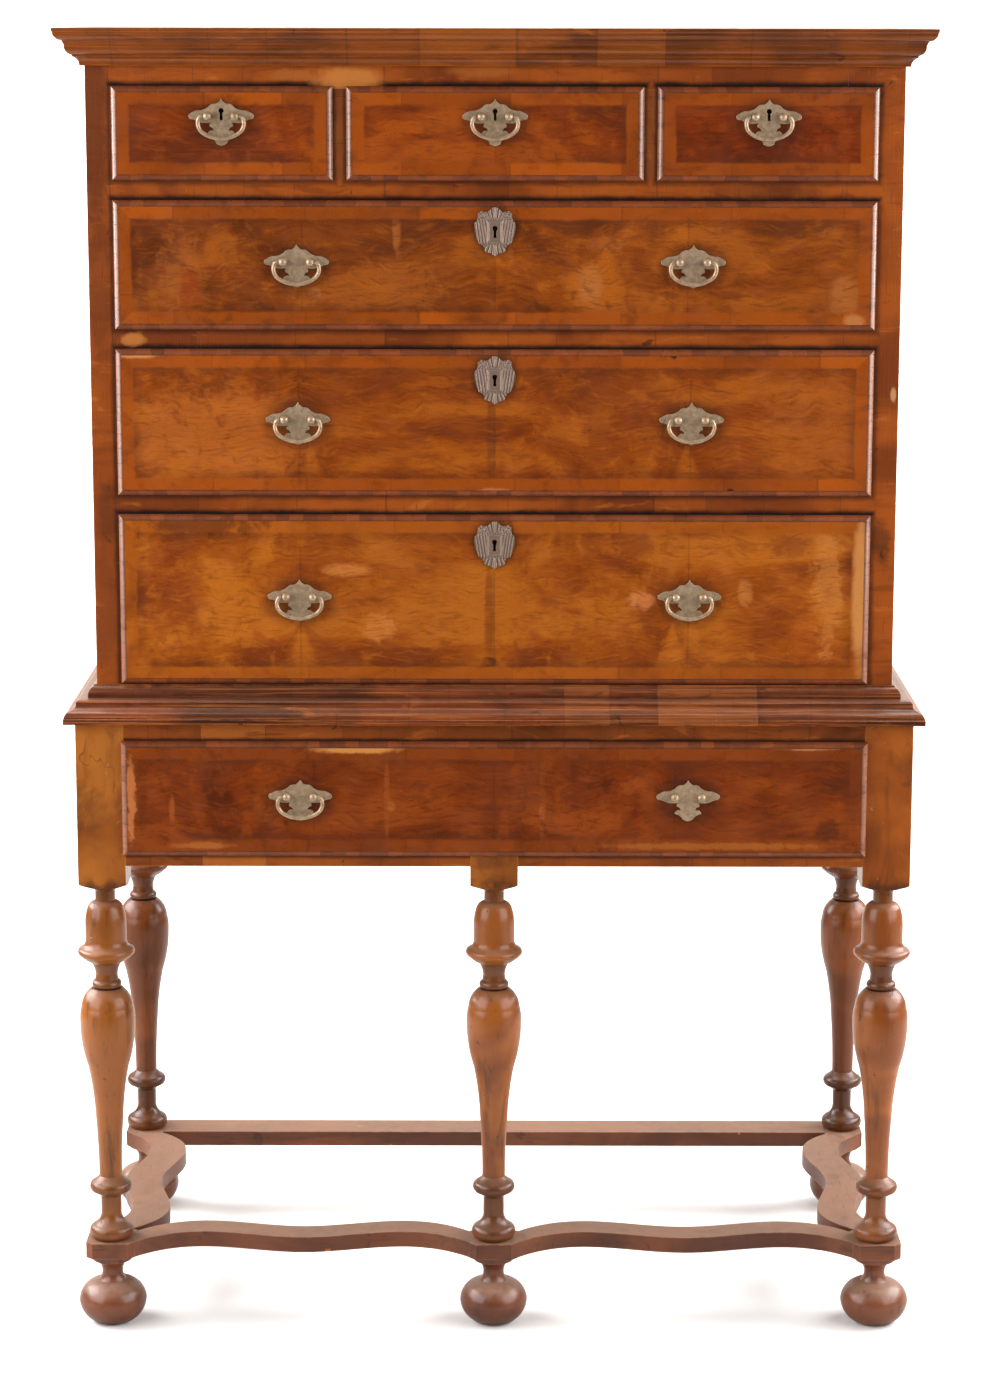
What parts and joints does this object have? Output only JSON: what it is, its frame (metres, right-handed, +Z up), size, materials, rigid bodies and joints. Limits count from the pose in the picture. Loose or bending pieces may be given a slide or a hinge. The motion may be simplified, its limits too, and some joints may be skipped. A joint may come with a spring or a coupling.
{
  "type": "chest on stand",
  "caption": "Corniced case of small and long lipped drawers with drop handles, on a stand with a long drawer, turned legs, shaped stretchers and bun feet.",
  "frame": {"origin": "on the floor, midway between the left and right feet and midway between the foremost ball of a handle and the back of the rear feet", "axes": "+X to the right as seen from the front, +Y from the front to the back, +Z up"},
  "size_m": [1.001, 0.5162, 1.5365],
  "materials": {
    "walnut": "waxed and worn, figured veneer",
    "oak": "bare and dry",
    "pine": "bare, aged and dusty",
    "brass": "dull and tarnished",
    "iron": "dark and oiled"
  },
  "bodies": {
    "chest": {"front_leg_left": "walnut", "front_leg_right": "walnut", "front_leg_middle": "walnut", "back_leg_left": "walnut", "back_leg_right": "walnut", "bun_feet": "walnut", "front_stretcher": "walnut", "back_stretcher": "walnut", "side_stretchers": "walnut", "stand_aprons": "walnut", "stand_front_rails": "walnut", "stand_drawer_runners": "pine", "stand_top_board": "pine", "case_sides": "walnut", "case_top_board": "walnut", "case_bottom_board": "pine", "case_back_boards": "pine", "case_front_frame": "walnut", "small_drawer_partitions": "walnut", "dust_boards": "pine", "drawer_guides": "pine", "cornice_moulding": "walnut", "waist_moulding": "walnut"},
    "small_drawer_left": {"small_drawer_left_front": "walnut", "small_drawer_left_box": "oak", "small_drawer_left_fittings": "brass"},
    "small_drawer_left_bail": {"small_drawer_left_bail": "brass"},
    "small_drawer_left_lock_bolt": {"small_drawer_left_lock_bolt": "iron"},
    "small_drawer_middle": {"small_drawer_middle_front": "walnut", "small_drawer_middle_box": "oak", "small_drawer_middle_fittings": "brass"},
    "small_drawer_middle_bail": {"small_drawer_middle_bail": "brass"},
    "small_drawer_middle_lock_bolt": {"small_drawer_middle_lock_bolt": "iron"},
    "small_drawer_right": {"small_drawer_right_front": "walnut", "small_drawer_right_box": "oak", "small_drawer_right_fittings": "brass"},
    "small_drawer_right_bail": {"small_drawer_right_bail": "brass"},
    "small_drawer_right_lock_bolt": {"small_drawer_right_lock_bolt": "iron"},
    "second_drawer": {"second_drawer_front": "walnut", "second_drawer_box": "oak", "second_drawer_fittings": "brass"},
    "second_drawer_left_bail": {"second_drawer_left_bail": "brass"},
    "second_drawer_right_bail": {"second_drawer_right_bail": "brass"},
    "second_drawer_lock_bolt": {"second_drawer_lock_bolt": "iron"},
    "third_drawer": {"third_drawer_front": "walnut", "third_drawer_box": "oak", "third_drawer_fittings": "brass"},
    "third_drawer_left_bail": {"third_drawer_left_bail": "brass"},
    "third_drawer_right_bail": {"third_drawer_right_bail": "brass"},
    "third_drawer_lock_bolt": {"third_drawer_lock_bolt": "iron"},
    "bottom_drawer": {"bottom_drawer_front": "walnut", "bottom_drawer_box": "oak", "bottom_drawer_fittings": "brass"},
    "bottom_drawer_left_bail": {"bottom_drawer_left_bail": "brass"},
    "bottom_drawer_right_bail": {"bottom_drawer_right_bail": "brass"},
    "bottom_drawer_lock_bolt": {"bottom_drawer_lock_bolt": "iron"},
    "stand_drawer": {"stand_drawer_front": "walnut", "stand_drawer_box": "oak", "stand_drawer_fittings": "brass"},
    "stand_drawer_left_bail": {"stand_drawer_left_bail": "brass"}
  },
  "joints": [
    {"name": "small_drawer_left_slide", "type": "slide", "parent": "chest", "child": "small_drawer_left", "axis": [0, -1, 0], "range_m": [0, 0.3]},
    {"name": "small_drawer_left_bail_hinge", "type": "hinge", "parent": "small_drawer_left", "child": "small_drawer_left_bail", "pos_m": [-0.3095, -0.22935, 1.4385], "axis": [-1, 0, 0], "range_deg": [-6, 120]},
    {"name": "small_drawer_left_lock_bolt_throw", "type": "slide", "parent": "small_drawer_left", "child": "small_drawer_left_lock_bolt", "axis": [0, 0, 1], "range_m": [0, 0.008]},
    {"name": "small_drawer_middle_slide", "type": "slide", "parent": "chest", "child": "small_drawer_middle", "axis": [0, -1, 0], "range_m": [0, 0.3]},
    {"name": "small_drawer_middle_bail_hinge", "type": "hinge", "parent": "small_drawer_middle", "child": "small_drawer_middle_bail", "pos_m": [0, -0.22935, 1.4385], "axis": [-1, 0, 0], "range_deg": [-6, 120]},
    {"name": "small_drawer_middle_lock_bolt_throw", "type": "slide", "parent": "small_drawer_middle", "child": "small_drawer_middle_lock_bolt", "axis": [0, 0, 1], "range_m": [0, 0.008]},
    {"name": "small_drawer_right_slide", "type": "slide", "parent": "chest", "child": "small_drawer_right", "axis": [0, -1, 0], "range_m": [0, 0.3]},
    {"name": "small_drawer_right_bail_hinge", "type": "hinge", "parent": "small_drawer_right", "child": "small_drawer_right_bail", "pos_m": [0.3095, -0.22935, 1.4385], "axis": [-1, 0, 0], "range_deg": [-6, 120]},
    {"name": "small_drawer_right_lock_bolt_throw", "type": "slide", "parent": "small_drawer_right", "child": "small_drawer_right_lock_bolt", "axis": [0, 0, 1], "range_m": [0, 0.008]},
    {"name": "second_drawer_slide", "type": "slide", "parent": "chest", "child": "second_drawer", "axis": [0, -1, 0], "range_m": [0, 0.3]},
    {"name": "second_drawer_left_bail_hinge", "type": "hinge", "parent": "second_drawer", "child": "second_drawer_left_bail", "pos_m": [-0.226, -0.22935, 1.275], "axis": [-1, 0, 0], "range_deg": [-6, 120]},
    {"name": "second_drawer_right_bail_hinge", "type": "hinge", "parent": "second_drawer", "child": "second_drawer_right_bail", "pos_m": [0.226, -0.22935, 1.275], "axis": [-1, 0, 0], "range_deg": [-6, 120]},
    {"name": "second_drawer_lock_bolt_throw", "type": "slide", "parent": "second_drawer", "child": "second_drawer_lock_bolt", "axis": [0, 0, 1], "range_m": [0, 0.008]},
    {"name": "third_drawer_slide", "type": "slide", "parent": "chest", "child": "third_drawer", "axis": [0, -1, 0], "range_m": [0, 0.3]},
    {"name": "third_drawer_left_bail_hinge", "type": "hinge", "parent": "third_drawer", "child": "third_drawer_left_bail", "pos_m": [-0.226, -0.22935, 1.095], "axis": [-1, 0, 0], "range_deg": [-6, 120]},
    {"name": "third_drawer_right_bail_hinge", "type": "hinge", "parent": "third_drawer", "child": "third_drawer_right_bail", "pos_m": [0.226, -0.22935, 1.095], "axis": [-1, 0, 0], "range_deg": [-6, 120]},
    {"name": "third_drawer_lock_bolt_throw", "type": "slide", "parent": "third_drawer", "child": "third_drawer_lock_bolt", "axis": [0, 0, 1], "range_m": [0, 0.008]},
    {"name": "bottom_drawer_slide", "type": "slide", "parent": "chest", "child": "bottom_drawer", "axis": [0, -1, 0], "range_m": [0, 0.3]},
    {"name": "bottom_drawer_left_bail_hinge", "type": "hinge", "parent": "bottom_drawer", "child": "bottom_drawer_left_bail", "pos_m": [-0.226, -0.22935, 0.889], "axis": [-1, 0, 0], "range_deg": [-6, 120]},
    {"name": "bottom_drawer_right_bail_hinge", "type": "hinge", "parent": "bottom_drawer", "child": "bottom_drawer_right_bail", "pos_m": [0.226, -0.22935, 0.889], "axis": [-1, 0, 0], "range_deg": [-6, 120]},
    {"name": "bottom_drawer_lock_bolt_throw", "type": "slide", "parent": "bottom_drawer", "child": "bottom_drawer_lock_bolt", "axis": [0, 0, 1], "range_m": [0, 0.008]},
    {"name": "stand_drawer_slide", "type": "slide", "parent": "chest", "child": "stand_drawer", "axis": [0, -1, 0], "range_m": [0, 0.3]},
    {"name": "stand_drawer_left_bail_hinge", "type": "hinge", "parent": "stand_drawer", "child": "stand_drawer_left_bail", "pos_m": [-0.226, -0.25335, 0.657], "axis": [-1, 0, 0], "range_deg": [-6, 120]}
  ]
}
